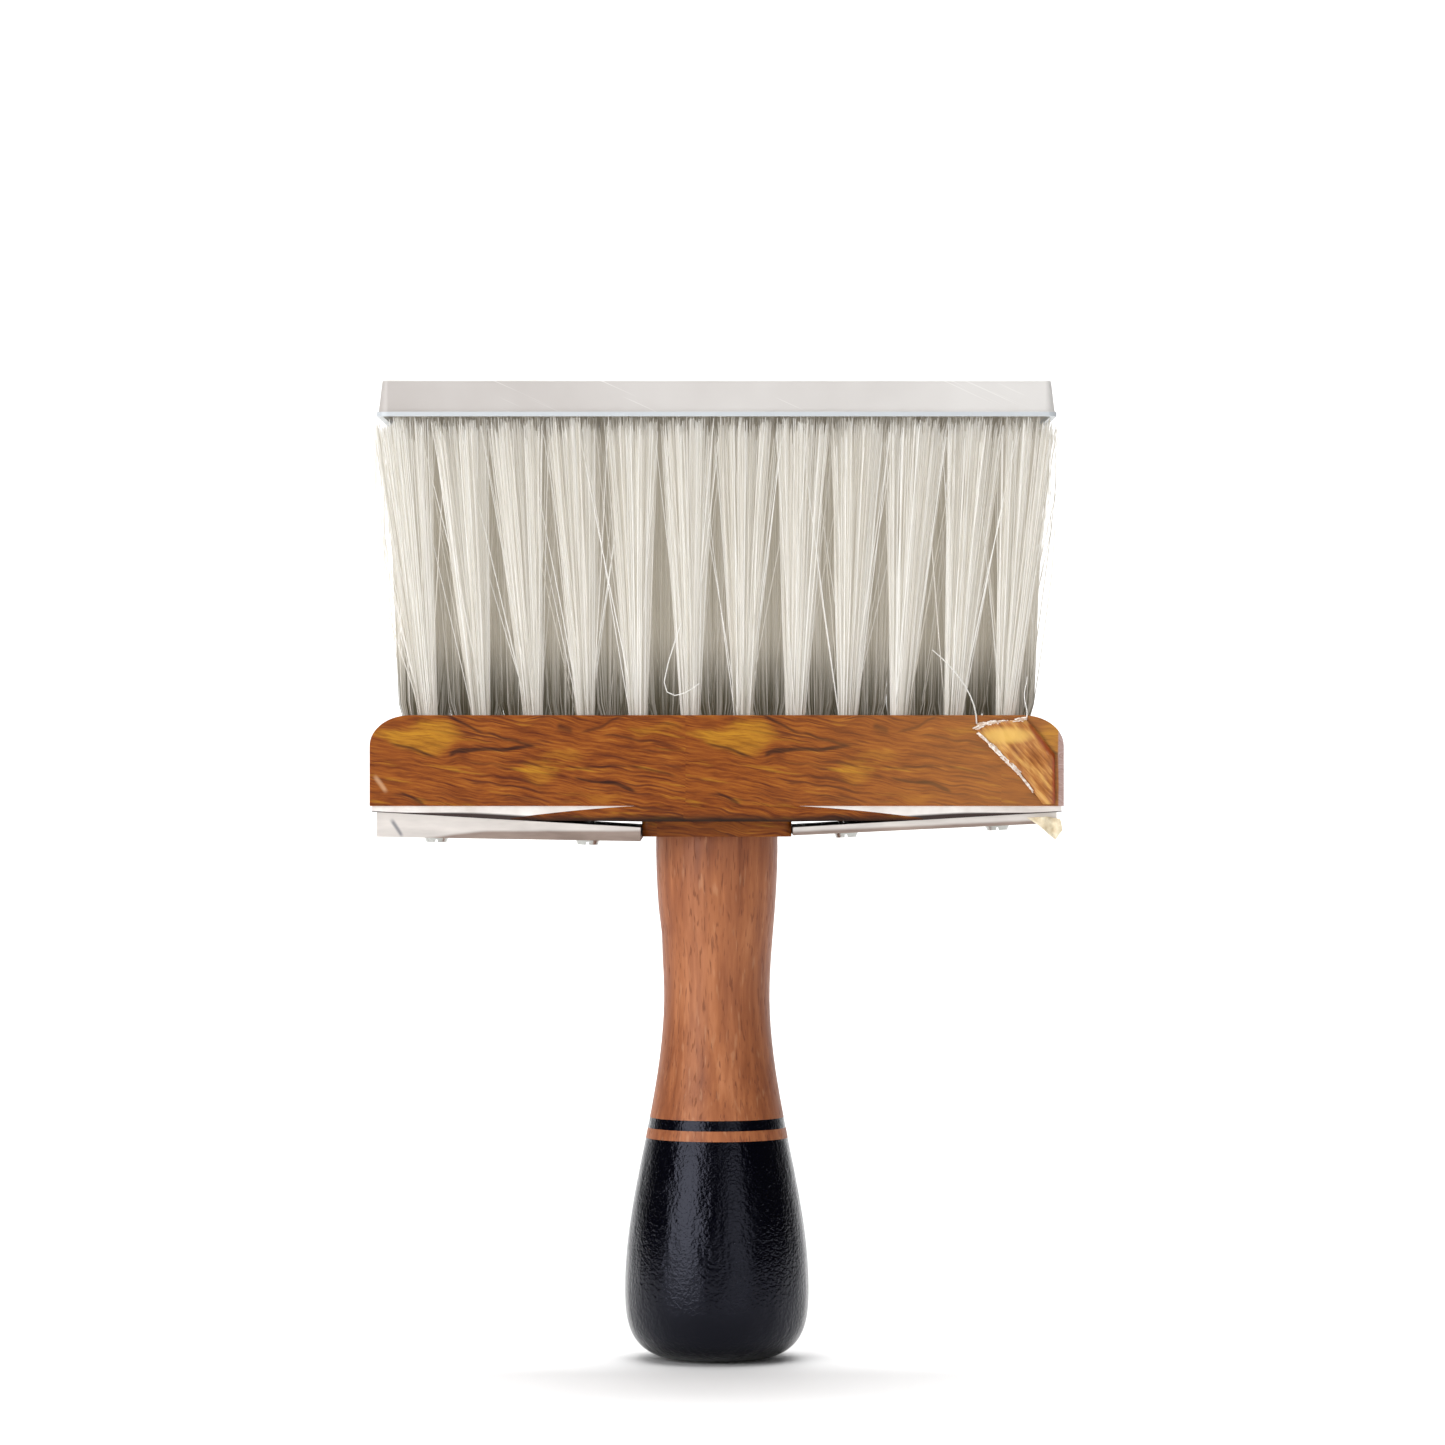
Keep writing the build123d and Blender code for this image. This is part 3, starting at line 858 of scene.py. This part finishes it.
# %% Bristle colour
def bristle():
    """Ivory fibres with a faint glow, and painted shade, olive, at their roots."""
    paint = Paint("bristle_fibre", specular_ior_level=0.5, emission_strength=0.2)
    rise = paint.node("ShaderNodeAttribute", output="Fac", attribute_name="rise")
    tone = paint.node("ShaderNodeAttribute", output="Fac", attribute_name="tone")
    ivory = paint.ramp(
        tone,
        [
            (0.0, rgb(206, 201, 191)),
            (0.35, rgb(229, 225, 219)),
            (0.7, rgb(240, 238, 236)),
            (1.0, rgb(252, 252, 252)),
        ],
    )
    # Painted shade: the roots of the darker fibres turn olive, where the rows shade each other.
    painted_shade_mask = rise.ramp(0.0, 0.28, 0.95, 0.0) * (1 - tone).ramp(0.3, 0.9)
    ivory = paint.blend(painted_shade_mask, ivory, (*rgb(84, 78, 52), 1))
    _, (x, y, z) = paint.place()
    open_tip = z.ramp(guard_low.z - 4.0 * MM, guard_low.z - 0.5 * MM, 0.0, 0.7)
    faint = paint.blend(open_tip * (1 - tone).ramp(0.3, 0.6), ivory, (0, 0, 0, 1))
    paint.drive(base_color=ivory, roughness=tone * 0.2 + 0.3)
    paint.drive(emission_color=faint)
    glow = paint.node("ShaderNodeBsdfTranslucent", {"Color": (*rgb(228, 225, 213), 1)})
    lit = Value(paint, paint.shader.outputs[0])
    mixed = paint.node("ShaderNodeMixShader", {0: 0.4, 1: lit, 2: glow})
    output = paint.tree.nodes["Material Output"]
    paint.tree.links.new(mixed.socket, output.inputs["Surface"])
    return paint


bristle_paint = bristle()

# %% Rows of tufts
def bristle_piece(name, lines, tones_and_shade, thickness=1.0):
    """A bristle piece that rides on the brush."""
    radii = np.array(fibre_radius)[None] * random.uniform(0.8, 1.25, (len(lines), 1)) * thickness
    made = lay_strands(name, lines, radii, random.uniform(*tones_and_shade, len(lines)))
    made.data.materials.append(bristle_paint.material)
    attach(made, "brush")
    return made


for row_name, shape in row_shapes.items():
    stretch = shape["last_tip"] / rows[row_name][-1][1][0]
    bundles = [
        tuft_lines(foot, tip * (stretch, 1, 1), fibres_per_tuft, shape)
        for foot, tip in rows[row_name]
    ]
    bristles = bristle_piece(
        row_name.replace("tufts", "bristles"), np.concatenate(bundles), shape["tones_and_shade"]
    )
    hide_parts(row_name)
    print(bristles.name, "faces", len(bristles.data.polygons))

# %% [markdown]
# ## Loose threads
#
# A few fibres have come loose. One is curled up in front of the tufts, and two hang on
# the torn corner of the foil.

# %% Loose threads
curl = [(-6.2, 129), (-7.4, 125.4), (-8.5, 121.8), (-9.1, 118.8), (-8.6, 117.1)]
curl += [(-7.2, 116.5), (-5.6, 116.9), (-4.2, 117.7), (-3.0, 118.6)]
film = [(44.9 - 0.12 * k * k, 111.6 + 1.6 * k) for k in range(strand_rings)]
wisp = [(53.4 + 0.25 * math.sin(k), 111.8 + 1.0 * k) for k in range(strand_rings)]
thread_front = -18.3
threads = [[(x, thread_front, z) for x, z in path] for path in (curl, film, wisp)]
threads = np.array(threads) * MM
bristle_piece("loose_threads", threads, (0.8, 1.0), 1.3)

# %% [markdown]
# ## The torn corner
#
# At the right end the foil has torn and been folded back. The loose piece is a thin sheet
# in front of the block: its outline is filled, subdivided and ruffled, then given a
# thickness. The torn edge shows the white paper under the print, frayed into short
# threads, and a crumpled scrap of card hangs under the block's corner.

# %% The torn corner
def sheet_mesh(name, outline, front, ruffle, thickness):
    """A ruffled thin sheet, from an outline in X and Z, in mm."""
    bm = bmesh.new()
    bm.faces.new([bm.verts.new((x * MM, front, z * MM)) for x, z in outline])
    bmesh.ops.triangulate(bm, faces=bm.faces[:])
    bmesh.ops.subdivide_edges(bm, edges=bm.edges[:], cuts=7, use_grid_fill=True)
    for vert in bm.verts:
        swell = noise.noise(vert.co * 420) + noise.noise(vert.co * 1300) * 0.4
        vert.co.y += ruffle * (swell - 0.6)
    bmesh.ops.solidify(bm, geom=bm.faces[:], thickness=thickness)
    bmesh.ops.recalc_face_normals(bm, faces=bm.faces)
    return mesh_from(bm, name)


def flap_paint():
    """The print on the folded piece: its grain runs down the slope of the fold."""
    paint = Paint("folded_woodgrain", specular_ior_level=0.45)
    spot, (x, y, z) = paint.place()
    across, along = x * 0.75 + z * 0.66, x * 0.66 - z * 0.75
    grain = paint.noise(paint.vector(across, along * 0.14, 0.2), 1100.0, 3.0, 0.6)
    wood = paint.ramp(
        grain,
        [
            (0.34, rgb(134, 76, 30)),
            (0.50, rgb(176, 112, 52)),
            (0.66, rgb(212, 160, 84)),
        ],
    )
    glow = ellipse(x, z, (50.0, 109.6), (4.5, 1.4), 0.0)
    wood = paint.blend(glow, wood, (*rgb(222, 176, 88), 1))
    edge = stroke(x, z, (53.0, 112.6), (58.5, 105.6), 0.55, 0.0)
    side = stroke(x, z, (58.3, 108.0), (58.3, 95.5), 0.5, 0.0)
    wood = paint.blend((edge + side) * 0.85, wood, (*rgb(138, 50, 10), 1))
    paint.drive(base_color=wood, roughness=grain.ramp(0.3, 0.7, 0.3, 0.42))
    paint.bump(grain, 0.2, 0.0002)
    return paint


def scrap_paint():
    """Cream card, thumbed and crumpled."""
    paint = Paint("crumpled_card")
    spot, _ = paint.place()
    cloud = paint.noise(spot, 700.0, 3.0)
    card = paint.ramp(cloud, [(0.3, rgb(206, 186, 150)), (0.7, rgb(244, 234, 208))])
    paint.drive(base_color=card, roughness=cloud.ramp(0.3, 0.7, 0.5, 0.66))
    paint.bump(cloud, 0.5, 0.0003)
    return paint


def torn_paint():
    """The white paper under the print."""
    paint = Paint("torn_paper")
    spot, _ = paint.place()
    cloud = paint.noise(spot, 1500.0, 2.0)
    paper = paint.ramp(cloud, [(0.35, rgb(206, 176, 150)), (0.6, rgb(246, 238, 230))])
    paint.drive(base_color=paper, roughness=cloud.ramp(0.3, 0.7, 0.55, 0.7))
    return paint


def add_piece(name, mesh, paint):
    """A new piece that rides on the brush and wears a paint."""
    made = new_object(name, mesh)
    made.data.materials.append(paint.material)
    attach(made, "brush")
    return made


flap_outline = [(44.6, 110.8), (46.8, 111.7), (50.0, 112.1), (53.3, 112.5), (56.0, 109.6)]
flap_outline += [(58.4, 106.4), (58.5, 97.7), (56.4, 97.7), (52.1, 103.2), (48.2, 107.1)]
flap = sheet_mesh("folded_foil", flap_outline, foil_low.y - 0.1 * MM, 0.35 * MM, 0.1 * MM)
add_piece("folded_foil", flap, flap_paint())

scrap_outline = [(53.6, 95.4), (57.0, 95.6), (59.3, 95.2), (59.7, 93.2), (58.5, 91.6)]
scrap_outline += [(57.2, 92.6), (55.8, 93.9)]
scrap = sheet_mesh("card_scrap", scrap_outline, foil_low.y + 0.5 * MM, 1.3 * MM, 0.3 * MM)
add_piece("card_scrap", scrap, scrap_paint())


def frayed(path, count, scatter):
    """Short threads scattered along a path in X and Z."""
    path = np.array(path)
    steps = np.linspace(0, 1, len(path))
    starts = random.uniform(0, 0.85, count)
    shares = starts[:, None] + np.linspace(0, 0.15, strand_rings)[None]
    x, z = (np.interp(shares, steps, path[:, axis]) for axis in (0, 1))
    shift = random.normal(0, scatter, (count, 1, 3))
    jitter = shift + random.normal(0, scatter * 0.3, (count, strand_rings, 3))
    y = np.full_like(x, frayed_front)
    return (np.stack([x, y, z], axis=2) + jitter * (1, 0.5, 1)) * MM


frayed_front = -18.45
frayed_radius = 0.14 * MM
edge_path = [(44.4, 110.7), (45.6, 111.4), (48.0, 111.9), (50.6, 112.0), (53.5, 112.5)]
fold_path = [(44.5, 110.7), (46.4, 108.9), (48.2, 107.1), (50.2, 105.2), (52.1, 103.2)]
fold_path += [(56.4, 97.8)]
torn = np.concatenate([frayed(edge_path, 46, 0.16), frayed(fold_path, 40, 0.14)])
frayed_radii = np.full((len(torn), 2), frayed_radius)
torn_edge = lay_strands("torn_edge", torn, frayed_radii, np.ones(len(torn)))
torn_edge.data.materials.append(torn_paint().material)
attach(torn_edge, "brush")
print("torn corner faces", len(flap.polygons), len(scrap.polygons), len(torn_edge.data.polygons))
